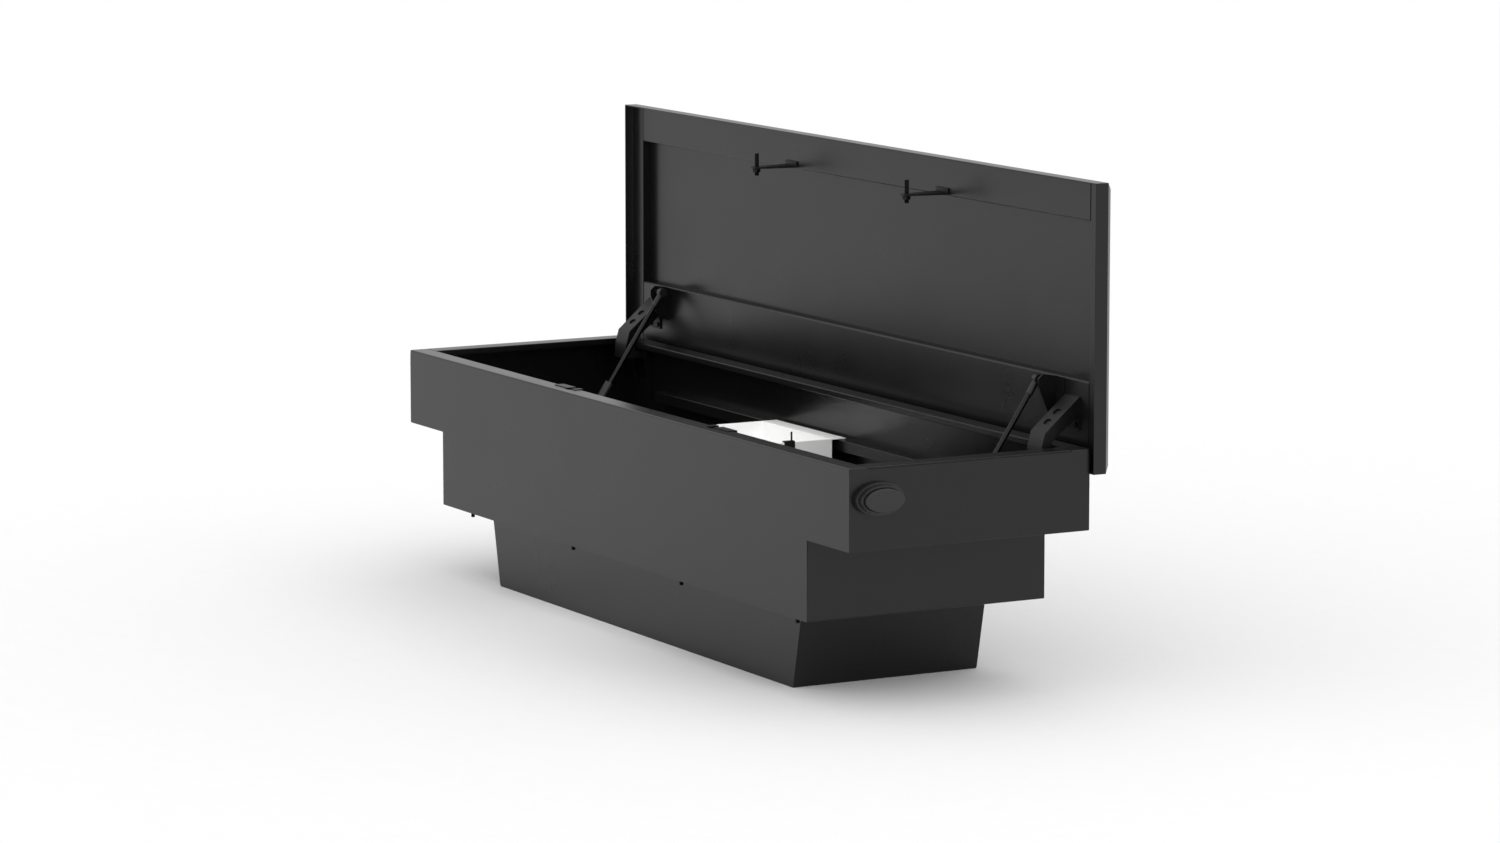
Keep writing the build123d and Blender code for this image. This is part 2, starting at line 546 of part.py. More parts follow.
SCREW_OFFSET, SCREW_Z = 14.0, 474.0
SCREW_HEAD_R, SCREW_HEAD = 4.5, 2.5
SCREW_XS = [side * HINGE_X + offset for side in (-1, 1) for offset in (-SCREW_OFFSET, SCREW_OFFSET)]
with BuildPart() as lid_screws:
    with Locations(*[Plane(origin=(x, LID_FRAME_Y - ARM_SHEET, SCREW_Z), z_dir=(0, -1, 0))
                     for x in SCREW_XS]):
        Cylinder(SCREW_HEAD_R, SCREW_HEAD, align=(Align.CENTER, Align.CENTER, Align.MIN))
save(lid_screws, "lid_screws")

# ---- latches: housing, claw and release lever --------------------------------------------

BOLT_SHUT_Z = HINGE_Z + STRIKER_Y - HINGE_Y     # height of the striker bolt when the lid is shut
CLAW_DX, CLAW_Z = 24.0, 380.0                   # claw pivot, out from the striker
LEVER_DX, LEVER_Z = 50.0, 405.0                 # release lever pivot
REAR_CHEEK_Y = -203.0                           # rear face of the housing
FRONT_CHEEK_Y = -219.5                          # front face of the housing
CHEEK = 2.5
HOUSING_LOW = 357.0
TAB_THICK = 1.5                                 # the housing hangs from this tab on the rim
PLATE_FRONT_Y, PLATE_THICK = -214.5, 6.0        # claw and lever share this plane
CLAW_PIN_R, LEVER_PIN_R = 4.0, 3.0
HOUSING_DX = (-22.0, 62.0)                      # the tab and the housing, out from the striker
CLAW_BAY_DX = (-22.0, 34.0)                     # the deep part, round the claw
LEVER_BAY_DX = (34.0, 62.0)                     # the shallow part, which leaves the lever's tab free
LEVER_BAY_LOW = 400.0
TAB_FRONT_Y = -222.0
FRONT_CHEEK_TOP = 428.0                         # under the rim's lip
THROAT_HALF, THROAT_BELOW = 8.0, 7.0            # the way in for the striker bolt
THROAT_Y = (-230.0, -195.0)


def at_latch(x, side, dx):
    """Two x values in rising order, measured out from the striker towards the box's end."""
    return sorted((x + side * dx[0], x + side * dx[1]))


def latch_block(x, side, dx, y, z, cut=False):
    x0, x1 = at_latch(x, side, dx)
    maker = cut_block if cut else block
    maker((x0, y[0], z[0]), (x1, y[1], z[1]))


def latch_housing(x, side, name):
    rear_sheet = (REAR_CHEEK_Y - CHEEK, REAR_CHEEK_Y)
    front_sheet = (FRONT_CHEEK_Y, FRONT_CHEEK_Y + CHEEK)
    with BuildPart() as housing:
        latch_block(x, side, HOUSING_DX, (TAB_FRONT_Y, REAR_CHEEK_Y), (HEIGHT, HEIGHT + TAB_THICK))
        latch_block(x, side, CLAW_BAY_DX, rear_sheet, (HOUSING_LOW, HEIGHT))
        latch_block(x, side, LEVER_BAY_DX, rear_sheet, (LEVER_BAY_LOW, HEIGHT))
        latch_block(x, side, HOUSING_DX, front_sheet, (HOUSING_LOW, FRONT_CHEEK_TOP))
        latch_block(x, side, CLAW_BAY_DX, (FRONT_CHEEK_Y, REAR_CHEEK_Y),
                    (HOUSING_LOW, HOUSING_LOW + CHEEK))
        latch_block(x, side, (-THROAT_HALF, THROAT_HALF), THROAT_Y,
                    (BOLT_SHUT_Z - THROAT_BELOW, HEIGHT + TAB_THICK + CUT_OVER), cut=True)
        pins = ((x + side * CLAW_DX, CLAW_Z, CLAW_PIN_R), (x + side * LEVER_DX, LEVER_Z, LEVER_PIN_R))
        for pin_x, pin_z, radius in pins:
            with BuildSketch(front_plane(REAR_CHEEK_Y - CHEEK)):
                with Locations((pin_x, pin_z)):
                    Circle(radius)
            extrude(amount=REAR_CHEEK_Y - FRONT_CHEEK_Y - 2 * CHEEK)
    return save(housing, name)


CLAW_HUB_R = 10.0
CLAW_IN, CLAW_OUT = 5.0, 7.0                    # the hook's shank, either side of its pivot
CLAW_NOSE = 12.0                                # how far the nose reaches past the pivot
CLAW_TOP, CLAW_THROAT = 37.0, 30.5              # the nose's top and underside, above the pivot


def latch_claw(x, side, name):
    """The hook stands up beside the striker's path and swings a quarter turn over the bolt."""
    pivot_x = x + side * CLAW_DX
    outline = [(-CLAW_IN, 0), (CLAW_OUT, 0), (CLAW_OUT, CLAW_TOP), (-CLAW_NOSE, CLAW_TOP),
               (-CLAW_NOSE, CLAW_THROAT), (-CLAW_IN, CLAW_THROAT)]
    with BuildPart() as claw:
        with BuildSketch(front_plane(PLATE_FRONT_Y + PLATE_THICK)):
            with Locations((pivot_x, CLAW_Z)):
                Circle(CLAW_HUB_R)
            with BuildLine():
                Polyline(*[(pivot_x + side * dx, CLAW_Z + dz) for dx, dz in outline], close=True)
            make_face()
            with Locations((pivot_x, CLAW_Z)):
                Circle(CLAW_PIN_R + RUNNING_GAP, mode=Mode.SUBTRACT)
        extrude(amount=PLATE_THICK)
    return save(claw, name)


LEVER_HUB_R, LEVER_HALF = 7.0, 3.0
LEVER_TOP, LEVER_TOE_LOW, LEVER_TOE = 19.0, 13.0, 10.0
LEVER_TAB = 3.5                                 # thickness of the tab that the push rod meets
LEVER_TAB_LOW, LEVER_TAB_HIGH, LEVER_TAB_TOP = 24.0, 12.0, 5.0     # below the pivot
LEVER_TAB_END_Y = -184.0


def release_lever(x, side, name):
    """The push rod swings the lever's bent tab in, and its toe comes out from over the claw."""
    pivot_x = x + side * LEVER_DX
    plate = (PLATE_FRONT_Y, PLATE_FRONT_Y + PLATE_THICK)
    outline = [(-LEVER_HALF, 0), (LEVER_HALF, 0), (LEVER_HALF, LEVER_TOP), (-LEVER_TOE, LEVER_TOP),
               (-LEVER_TOE, LEVER_TOE_LOW), (-LEVER_HALF, LEVER_TOE_LOW)]
    with BuildPart() as lever:
        with BuildSketch(front_plane(plate[1])):
            with Locations((pivot_x, LEVER_Z)):
                Circle(LEVER_HUB_R)
            with BuildLine():
                Polyline(*[(pivot_x + side * dx, LEVER_Z + dz) for dx, dz in outline], close=True)
            make_face()
            with Locations((pivot_x, LEVER_Z)):
                Circle(LEVER_PIN_R + RUNNING_GAP, mode=Mode.SUBTRACT)
        extrude(amount=PLATE_THICK)
        latch_block(pivot_x, side, (-LEVER_TAB, 0), plate,
                    (LEVER_Z - LEVER_TAB_LOW, LEVER_Z - LEVER_TAB_TOP))
        latch_block(pivot_x, side, (-LEVER_TAB, 0), (plate[1], LEVER_TAB_END_Y),
                    (LEVER_Z - LEVER_TAB_LOW, LEVER_Z - LEVER_TAB_HIGH))
    return save(lever, name)


for latch_x, side, word in ((LATCH_RIGHT_X, 1, "right"), (LATCH_LEFT_X, -1, "left")):
    latch_housing(latch_x, side, f"latch_housing_{word}")
    latch_claw(latch_x, side, f"latch_claw_{word}")
    release_lever(latch_x, side, f"release_lever_{word}")

# ---- push buttons at both ends -----------------------------------------------------------

BEZEL_BASE, BEZEL_TOP = (48.0, 29.5), (43.0, 25.5)      # half axes of the bezel's two ovals
BUTTON_OVAL = (39.0, 21.0)
OVAL_GAP = 0.4
BASE_THICK, TOP_THICK = 12.0, 10.0
BUTTON_BACK, BUTTON_FACE = 9.0, 31.0            # from the end wall's outer face
BUTTON_EDGE = 3.0                               # rounding of the button's face

with BuildPart() as lock_bezel:
    for start, thick, oval in ((0.0, BASE_THICK, BEZEL_BASE), (BASE_THICK, TOP_THICK, BEZEL_TOP)):
        with BuildSketch(side_plane(HALF_L + start)):
            with Locations((BUTTON_Y, BUTTON_Z)):
                Ellipse(*oval)
        extrude(amount=thick)
    with BuildSketch(side_plane(HALF_L)):
        with Locations((BUTTON_Y, BUTTON_Z)):
            Ellipse(BUTTON_OVAL[0] + OVAL_GAP, BUTTON_OVAL[1] + OVAL_GAP)
    extrude(amount=BASE_THICK + TOP_THICK, mode=Mode.SUBTRACT)
save(lock_bezel, "lock_bezel_right")
save_mirrored(lock_bezel, Plane.YZ, "lock_bezel_left")

with BuildPart() as push_button:
    with BuildSketch(side_plane(HALF_L + BUTTON_BACK)):
        with Locations((BUTTON_Y, BUTTON_Z)):
            Ellipse(*BUTTON_OVAL)
    extrude(amount=BUTTON_FACE - BUTTON_BACK)
    fillet(push_button.faces().sort_by(Axis.X)[-1].edges(), BUTTON_EDGE)
save(push_button, "push_button_right")
save_mirrored(push_button, Plane.YZ, "push_button_left")

ROD_TIP_GAP = 0.6


def push_rod(latch_x, side, name):
    """A rod from the button's back to the release lever, with a round nose."""
    tip = latch_x + side * (LEVER_DX + ROD_TIP_GAP)
    back = side * (HALF_L + BUTTON_BACK)
    nose = tip + side * PUSH_ROD_R
    with BuildPart() as rod:
        with BuildSketch(side_plane(min(nose, back))):
            with Locations((BUTTON_Y, BUTTON_Z)):
                Circle(PUSH_ROD_R)
        extrude(amount=abs(back - nose))
        with Locations((nose, BUTTON_Y, BUTTON_Z)):
            Sphere(PUSH_ROD_R)
    return save(rod, name)


push_rod(LATCH_RIGHT_X, 1, "push_rod_right")
push_rod(LATCH_LEFT_X, -1, "push_rod_left")

GUIDE_X = 640.0
GUIDE_THICK = 3.0
GUIDE_GAP = 0.08
GUIDE_LOW, GUIDE_HIGH, GUIDE_CORNER = 14.0, 24.0, 12.0   # the guide's outline round the rod
GUIDE_EDGE = 6.0
with BuildPart() as rod_guides:
    for x in (-GUIDE_X, GUIDE_X):
        with BuildSketch(side_plane(x - GUIDE_THICK / 2)):
            with BuildLine():
                Polyline(
                    (-HALF_W + SHEET, BUTTON_Z - GUIDE_LOW), (-HALF_W + SHEET, BUTTON_Z + GUIDE_HIGH),
                    (BUTTON_Y + GUIDE_EDGE, BUTTON_Z + GUIDE_CORNER),
                    (BUTTON_Y + GUIDE_CORNER, BUTTON_Z + GUIDE_EDGE),
                    (BUTTON_Y + GUIDE_CORNER, BUTTON_Z - GUIDE_LOW), close=True)
            make_face()
            with Locations((BUTTON_Y, BUTTON_Z)):
                Circle(PUSH_ROD_R + GUIDE_GAP, mode=Mode.SUBTRACT)
        extrude(amount=GUIDE_THICK)
save(rod_guides, "rod_guides")

# ---- sliding tray ------------------------------------------------------------------------

TRAY_REST_GAP = 0.3
TRAY_TOP_Z = RAIL_TOP_Z + TRAY_REST_GAP + SHEET
TRAY_FLANGE_Y = 236.0

with BuildPart() as tray:
    block((TRAY_LEFT, -TRAY_BODY_Y, TRAY_TOP_Z - TRAY_DEPTH), (TRAY_RIGHT, TRAY_BODY_Y, TRAY_TOP_Z))
    cut_block((TRAY_LEFT + SHEET, -TRAY_BODY_Y + SHEET, TRAY_TOP_Z - TRAY_DEPTH + SHEET),
              (TRAY_RIGHT - SHEET, TRAY_BODY_Y - SHEET, TRAY_TOP_Z + CUT_OVER))
    for side in (-1, 1):
        inner, outer = sorted((side * TRAY_BODY_Y, side * TRAY_FLANGE_Y))
        block((TRAY_LEFT, inner, TRAY_TOP_Z - SHEET), (TRAY_RIGHT, outer, TRAY_TOP_Z))
save(tray, "tray")

# A spring clip over the tray's right wall, with an upright pin that locks and pulls the tray.
CLIP_Y, CLIP_HALF, CLIP_SHEET = 112.0, 11.0, 3.0
CLIP_DROP, CLIP_REACH = 14.0, 7.0
PIN_IN, PIN_ALONG, PIN_TALL, PIN_R = 2.0, 6.0, 17.0, 1.8
with BuildPart() as tray_pull:
    block((TRAY_RIGHT, CLIP_Y - CLIP_HALF, TRAY_TOP_Z - CLIP_DROP),
          (TRAY_RIGHT + CLIP_SHEET, CLIP_Y + CLIP_HALF, TRAY_TOP_Z + CLIP_SHEET))
    block((TRAY_RIGHT - CLIP_REACH, CLIP_Y - CLIP_HALF, TRAY_TOP_Z),
          (TRAY_RIGHT, CLIP_Y + CLIP_HALF, TRAY_TOP_Z + CLIP_SHEET))
    with Locations((TRAY_RIGHT - PIN_IN, CLIP_Y + PIN_ALONG, TRAY_TOP_Z + CLIP_SHEET)):
        Cylinder(PIN_R, PIN_TALL, align=(Align.CENTER, Align.CENTER, Align.MIN))
save(tray_pull, "tray_pull")
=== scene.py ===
# %% [markdown]
# # A truck tool box, piece by piece
# This lesson dresses a crossover tool box: a stepped sheet-steel chest that sits across the bed of
# a pickup, with its lid open. The frame that it loads already holds every sheet, hinge and latch at
# its real size in metres. What is left for Blender is what the eye reads as real: powder coat,
# broken edges, rounded folds, screw threads, and soft studio light.

# %% Load the frame
import json
import math

import bmesh
import bpy
from mathutils import Matrix, Vector
from mathutils.bvhtree import BVHTree


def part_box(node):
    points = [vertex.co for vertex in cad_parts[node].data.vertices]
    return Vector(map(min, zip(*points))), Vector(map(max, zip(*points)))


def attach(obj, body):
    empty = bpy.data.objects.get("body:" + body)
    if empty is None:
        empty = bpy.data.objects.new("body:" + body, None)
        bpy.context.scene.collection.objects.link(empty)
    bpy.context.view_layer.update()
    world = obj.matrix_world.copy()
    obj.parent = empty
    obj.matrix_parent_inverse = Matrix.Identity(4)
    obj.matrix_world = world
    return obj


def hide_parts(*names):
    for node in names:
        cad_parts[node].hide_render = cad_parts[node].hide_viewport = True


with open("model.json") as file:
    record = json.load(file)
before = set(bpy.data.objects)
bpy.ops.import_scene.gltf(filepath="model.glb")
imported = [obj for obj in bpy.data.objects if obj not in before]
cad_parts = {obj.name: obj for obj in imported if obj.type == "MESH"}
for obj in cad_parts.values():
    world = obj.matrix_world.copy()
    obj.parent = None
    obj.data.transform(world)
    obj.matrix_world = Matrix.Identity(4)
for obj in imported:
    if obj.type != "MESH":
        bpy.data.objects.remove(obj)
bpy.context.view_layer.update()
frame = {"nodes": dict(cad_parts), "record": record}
nodes = frame["nodes"]
MM = 0.001

# %% [markdown]
# ## Camera
# The box is seen from its right front corner, from about ten metres away through a long lens, so
# the long edges run almost parallel. The camera stands a metre above the lid's top and looks down
# by 8.4 degrees, far enough round that the right end shows as well as the front.

# %% Make the camera
CAMERA_PLACE = (8.990, -4.909, 1.9067)
LOOK_DOWN, LOOK_ROUND = math.radians(8.401), math.radians(61.136)
LENS, SENSOR = 130.76, 36.0

camera_data = bpy.data.cameras.new("camera")
camera_data.lens, camera_data.sensor_width = LENS, SENSOR
camera_data.clip_start, camera_data.clip_end = 0.1, 100.0
camera = bpy.data.objects.new("camera", camera_data)
camera.location = CAMERA_PLACE
camera.rotation_euler = (math.pi / 2 - LOOK_DOWN, 0, LOOK_ROUND)
bpy.context.scene.collection.objects.link(camera)
bpy.context.scene.camera = camera
print("camera is", round(Vector(CAMERA_PLACE).length, 2), "m from the origin")

# %% [markdown]
# ## Two small helpers for materials
# Paint charts and screens give colours as sRGB hex values, but shaders add light up in linear
# values, so one function turns the first into the second. The other adds a node, sets its values
# and links its inputs, which keeps a whole material readable as a list of steps.

# %% Colour and node helpers


def linear(hex_colour):
    """An sRGB hex colour as the linear RGBA that a shader wants."""
    parts = [int(hex_colour[i:i + 2], 16) / 255 for i in (1, 3, 5)]
    return [p / 12.92 if p <= 0.04045 else ((p + 0.055) / 1.055) ** 2.4 for p in parts] + [1.0]


def add(tree, kind, settings=None, **inputs):
    """Add a node. Settings go on the node; each input gets a value, or a link from a socket."""
    node = tree.nodes.new(kind)
    for name, value in (settings or {}).items():
        setattr(node, name, value)
    for name, value in inputs.items():
        key = int(name[1:]) if name[0] == "i" and name[1:].isdigit() else name.replace("_", " ")
        if isinstance(value, bpy.types.NodeSocket):
            tree.links.new(value, node.inputs[key])
        else:
            node.inputs[key].default_value = value
    return node


def blank(name):
    """An empty material with its output node, and the object's own coordinates in metres."""
    material = bpy.data.materials.new(name)
    material.use_nodes = True
    tree = material.node_tree
    tree.nodes.clear()
    out = add(tree, "ShaderNodeOutputMaterial")
    place = add(tree, "ShaderNodeTexCoord").outputs["Object"]
    return material, tree, out, place


def per_metre(size_mm):
    """Noise scale that makes one grain of a pattern this many millimetres wide."""
    return 1.0 / (size_mm * MM)


# %% [markdown]
# ## Powder coat
# The box, lid and brackets are sheet steel with a polyester powder coat, sprayed dry and baked.
# It melts into a skin about 0.08 mm thick that is never quite flat: a fine sand-like texture
# half a millimetre across lies over a slow "orange peel" roll of some 6 mm. The eye gets a soft,
# wide sheen with no sharp reflection. The black is a dark grey once light is on it, because the
# texture scatters the gloss. Handling rubs it slightly shinier in patches, and dust settles in a
# thin, barely paler veil, so both the colour and the roughness drift over a hand's width.

# %% Powder coat material
SAND_MM, PEEL_MM, DRIFT_MM = 1.6, 6.0, 130.0    # real sand is 0.5 mm; 1.6 mm still shows in a full view


def powder_coat(name, dark, light, roughness, sand_height, specular=0.5):
    """Fine-textured powder coat. Its sand stands sand_height millimetres high."""
    material, tree, out, place = blank(name)
    sand = add(tree, "ShaderNodeTexNoise", Vector=place, Scale=per_metre(SAND_MM), Detail=2.0)
    peel = add(tree, "ShaderNodeTexNoise", Vector=place, Scale=per_metre(PEEL_MM), Detail=1.0)
    drift = add(tree, "ShaderNodeTexNoise", Vector=place, Scale=per_metre(DRIFT_MM), Detail=4.0)
    tint = add(tree, "ShaderNodeValToRGB", Fac=drift.outputs["Fac"])
    tint.color_ramp.elements[0].position, tint.color_ramp.elements[0].color = 0.30, linear(dark)
    tint.color_ramp.elements[1].position, tint.color_ramp.elements[1].color = 0.72, linear(light)
    grain = add(tree, "ShaderNodeMix", {"data_type": "RGBA", "blend_type": "MULTIPLY"},
                Factor=0.25, i6=tint.outputs["Color"], i7=sand.outputs["Color"])
    rub = add(tree, "ShaderNodeMapRange", Value=drift.outputs["Fac"], From_Min=0.3, From_Max=0.7,
              To_Min=roughness - 0.02, To_Max=roughness + 0.02)
    roll = add(tree, "ShaderNodeBump", Height=peel.outputs["Fac"], Strength=0.25, Distance=0.10 * MM)
    skin = add(tree, "ShaderNodeBump", Height=sand.outputs["Fac"], Strength=0.6,
               Distance=sand_height * MM, Normal=roll.outputs["Normal"])
    shader = add(tree, "ShaderNodeBsdfPrincipled", Base_Color=grain.outputs[2],
                 Roughness=rub.outputs["Result"], IOR=1.5, Normal=skin.outputs["Normal"])
    shader.inputs["Specular IOR Level"].default_value = specular
    tree.links.new(shader.outputs[0], out.inputs[0])
    return material


black_coat = powder_coat("black_polyester_powder_coat_fine_texture", "#121212", "#141414", 0.29, 0.04, 0.34)
arm_coat = powder_coat("black_powder_coat_on_pressed_arm", "#0C0C0C", "#101010", 0.46, 0.14, 0.30)
white_coat = powder_coat("white_polyester_powder_coat_satin", "#FAFAF9", "#FDFDFC", 0.38, 0.06)
print("powder coats", black_coat.name, arm_coat.name, white_coat.name)

# %% [markdown]
# ## Nylon and dark steel
# The end buttons and strut sockets are moulded nylon: slightly waxy, with a spark-eroded mould
# texture under a millimetre across. Fasteners and latch plates are steel under black zinc, which
# keeps a little of the metal's gleam. Strut rods are ground round and nitrided black, so they
# catch the light in a thin line. Strut tubes are enamelled, and shinier than powder coat.

# %% Moulded nylon
SPARK_MM, FLOW_MM = 0.9, 22.0      # mould texture, and the slow drift of colour along the flow


def moulded_nylon(name, dark, light, roughness):
    """Moulded plastic with the fine pits that spark erosion leaves in a mould."""
    material, tree, out, place = blank(name)
    spark = add(tree, "ShaderNodeTexNoise", Vector=place, Scale=per_metre(SPARK_MM), Detail=3.0)
    flow = add(tree, "ShaderNodeTexNoise", Vector=place, Scale=per_metre(FLOW_MM), Detail=2.0)
    tint = add(tree, "ShaderNodeValToRGB", Fac=flow.outputs["Fac"])
    tint.color_ramp.elements[0].color, tint.color_ramp.elements[1].color = linear(dark), linear(light)
    gloss = add(tree, "ShaderNodeMapRange", Value=spark.outputs["Fac"], To_Min=roughness - 0.05,
                To_Max=roughness + 0.08)
    skin = add(tree, "ShaderNodeBump", Height=spark.outputs["Fac"], Strength=0.5, Distance=0.06 * MM)
    shader = add(tree, "ShaderNodeBsdfPrincipled", Base_Color=tint.outputs["Color"],
                 Roughness=gloss.outputs["Result"], IOR=1.53, Normal=skin.outputs["Normal"])
    tree.links.new(shader.outputs[0], out.inputs[0])
    return material


nylon = moulded_nylon("black_moulded_nylon", "#0E0E0E", "#121212", 0.46)

# %% Black zinc and nitrided steel
CLOUD_MM = 14.0                   # uneven plating shows as clouds about this wide


def dark_steel(name, dark, light, roughness, mark_mm, metallic):
    """Dark plated steel. Its marks are mark_mm wide and cloud the plating a little."""
    material, tree, out, place = blank(name)
    marks = add(tree, "ShaderNodeTexNoise", Vector=place, Scale=per_metre(mark_mm), Detail=4.0)
    cloud = add(tree, "ShaderNodeTexNoise", Vector=place, Scale=per_metre(CLOUD_MM), Detail=3.0)
    tint = add(tree, "ShaderNodeValToRGB", Fac=cloud.outputs["Fac"])
    tint.color_ramp.elements[0].color, tint.color_ramp.elements[1].color = linear(dark), linear(light)
    gloss = add(tree, "ShaderNodeMapRange", Value=marks.outputs["Fac"], To_Min=roughness - 0.08,
                To_Max=roughness + 0.10)
    skin = add(tree, "ShaderNodeBump", Height=marks.outputs["Fac"], Strength=0.3, Distance=0.03 * MM)
    shader = add(tree, "ShaderNodeBsdfPrincipled", Base_Color=tint.outputs["Color"], Metallic=metallic,
                 Roughness=gloss.outputs["Result"], Normal=skin.outputs["Normal"])
    tree.links.new(shader.outputs[0], out.inputs[0])
    return material


zinc = dark_steel("black_zinc_plated_steel", "#262628", "#303032", 0.42, 0.8, 1.0)
nitrided = dark_steel("ground_black_nitrided_rod", "#2A2A2B", "#323233", 0.22, 0.6, 1.0)
enamel = dark_steel("black_enamelled_strut_tube", "#141414", "#191919", 0.30, 3.0, 0.0)

SLOT_LOOKS = {
    "black_powder_coat": black_coat, "white_powder_coat": white_coat,
    "black_button": nylon, "strut_paint": enamel, "strut_rod_steel": nitrided,
    "black_fitting": nylon, "black_zinc_steel": zinc,
}
slot_of = {part["node"]: part["material_slot"] for part in frame["record"]["subparts"]}
for name, node in nodes.items():
    look = arm_coat if name.startswith("hinge_arm") else SLOT_LOOKS[slot_of[name]]
    node.data.materials.clear()
    node.data.materials.append(look)
print("materials on", len(nodes), "nodes")

# %% [markdown]
# ## Broken edges
# Sheet steel is sheared, folded and welded, and then a sander takes the sharpness off every free
# edge, because powder coat pulls away from a sharp one. The paint then makes the edge rounder
# still, to about three quarters of a millimetre, and folds are rounder again. Those small radii
# draw the thin lines of light that make a black box readable. An edge that another sheet is welded
# against isn't free, so it stays square and no groove opens along the weld. Each piece below is a
# copy of its node with its free, outward edges rounded. Two points just outside each edge say
# whether another sheet covers it. Rounding can go wrong where edges crowd together and leave a
# face in the wrong place, so each copy is measured against its node, and smaller radii are tried
# until one passes. The round parts, which the frame already draws smooth, are left alone.

# %% Round the free edges
EDGE_MM = {                       # rounding of each piece's free edges, by the start of its name
    "hinge_arm": 0.6, "lock_bezel": 1.4, "tray": 0.6, "latch_": 0.4, "release_lever": 0.4,
    "striker_bracket": 0.6, "strut_bracket": 0.7, "hinge_bracket": 0.6, "rod_guides": 0.5,
}
SHEET_EDGE_MM = 0.75
FOLD_MM = 1.9                     # outer radius where 2 mm sheet is folded
WIDE = 8 * MM                     # a fold has a face at least this wide on both sides
PROBE = 0.3 * MM
LEFT_AS_THEY_ARE = ("push_button", "push_rod", "strut_cylinder", "strut_rod", "strut_eye", "strut_studs",
                    "striker_bolts", "mounting_studs", "hinge_pins", "lid_screws")
FOLD_TURN, EDGE_TURN = math.radians(28), math.radians(50)


def flat_faced(node):
    """The node's shape in a bmesh, with its triangles joined back into flat faces."""
    shape = bmesh.new()
    shape.from_mesh(node.data)
    bmesh.ops.remove_doubles(shape, verts=shape.verts, dist=0.002 * MM)
    bmesh.ops.dissolve_limit(shape, angle_limit=math.radians(0.5), verts=shape.verts,
                             edges=shape.edges)
    return shape


def covered(point, neighbours):
    """True if a point lies inside or hard against one of the neighbouring solids."""
    for solid in neighbours:
        near, normal, _, distance = solid.find_nearest(point, 2 * PROBE)
        if near is not None and (distance < PROBE / 4 or (point - near).dot(normal) < 0):
            return True
    return False


def free_edges(shape, neighbours, least_turn, folds_only):
    """Outward edges, or only folds, that turn enough and that nothing is welded against."""
    found = []
    for edge in shape.edges:
        if len(edge.link_faces) != 2 or not edge.is_convex:
            continue
        if edge.calc_face_angle(0.0) < least_turn:
            continue
        if folds_only and min(face.calc_area() for face in edge.link_faces) < WIDE * edge.calc_length():
            continue
        middle = (edge.verts[0].co + edge.verts[1].co) / 2
        one, two = (face.normal for face in edge.link_faces)
        if covered(middle + PROBE * (one - two), neighbours):
            continue
        if covered(middle + PROBE * (two - one), neighbours):
            continue
        found.append(edge)
    return found


def new_piece(name, shape, look, body, replaced=None):
    """Turn a bmesh into a smooth-shaded piece that rides on a body."""
    mesh = bpy.data.meshes.new(name)
    shape.to_mesh(mesh)
    shape.free()
    mesh.shade_smooth()
    mesh.set_sharp_from_angle(angle=math.radians(38))
    mesh.materials.append(look)
    piece = bpy.data.objects.new(name, mesh)
    bpy.context.scene.collection.objects.link(piece)
    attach(piece, body)
    if replaced:
        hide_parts(replaced)
    return piece


body_of_node = {n: b for b, members in frame["record"]["behaviour"]["bodies"].items() for n in members}
solid_of = {}
for name, node in nodes.items():
    shape = flat_faced(node)
    solid_of[name] = BVHTree.FromBMesh(shape)
    shape.free()

AREA_SLACK = 0.02                 # rounding may change a piece's area and volume by this share


def measure(shape):
    """(area of all triangles, volume, True if every edge joins two faces) of a shape."""
    cut = shape.copy()
    bmesh.ops.triangulate(cut, faces=cut.faces)
    area = sum(face.calc_area() for face in cut.faces)
    found = area, cut.calc_volume(), all(edge.is_manifold for edge in cut.edges)
    cut.free()
    return found


def sound(shape, node):
    """True if a rounded shape is closed and still has nearly its node's area and volume."""
    plain = flat_faced(node)
    (area, volume, _), (new_area, new_volume, closed) = measure(plain), measure(shape)
    plain.free()
    return (closed and abs(new_area / area - 1) < AREA_SLACK
            and abs(new_volume / volume - 1) < AREA_SLACK)


def softened(name, neighbours, fold_mm, edge_mm):
    """A copy of a node, with its folds and its free edges rounded."""
    shape, count = flat_faced(nodes[name]), 0
    folds, edges_too = (fold_mm, FOLD_TURN, True, 3), (edge_mm, EDGE_TURN, False, 2)
    for radius, turn, folds_only, steps in (folds, edges_too):
        if radius:
            edges = free_edges(shape, neighbours, turn, folds_only)
            count += len(edges)
            bmesh.ops.bevel(shape, geom=edges, offset=radius * MM, segments=steps, profile=0.5,
                            affect="EDGES", clamp_overlap=True)
    return shape, count


rounded = 0
for name in sorted(nodes):
    if name.startswith(LEFT_AS_THEY_ARE):
        continue
    body = body_of_node[name]
    neighbours = [solid_of[n] for n in solid_of if n != name and body_of_node[n] == body]
    fold = FOLD_MM if nodes[name].data.materials[0] == black_coat else 0
    width = next((w for start, w in EDGE_MM.items() if name.startswith(start)), SHEET_EDGE_MM)
    for radii in ((fold, width), (0, width), (0, width / 2)):
        shape, count = softened(name, neighbours, *radii)
        if sound(shape, nodes[name]):
            break
        shape.free()
    else:
        print("left square:", name)
        continue
    rounded += count
    print(name, "folds and edges rounded by", radii, "mm")
    piece = new_piece(name + "_finished", shape, nodes[name].data.materials[0], body,
                      name)
    smooth = piece.modifiers.new("even_shading", "WEIGHTED_NORMAL")
    smooth.keep_sharp = True
print("rounded", rounded, "folds and free edges")

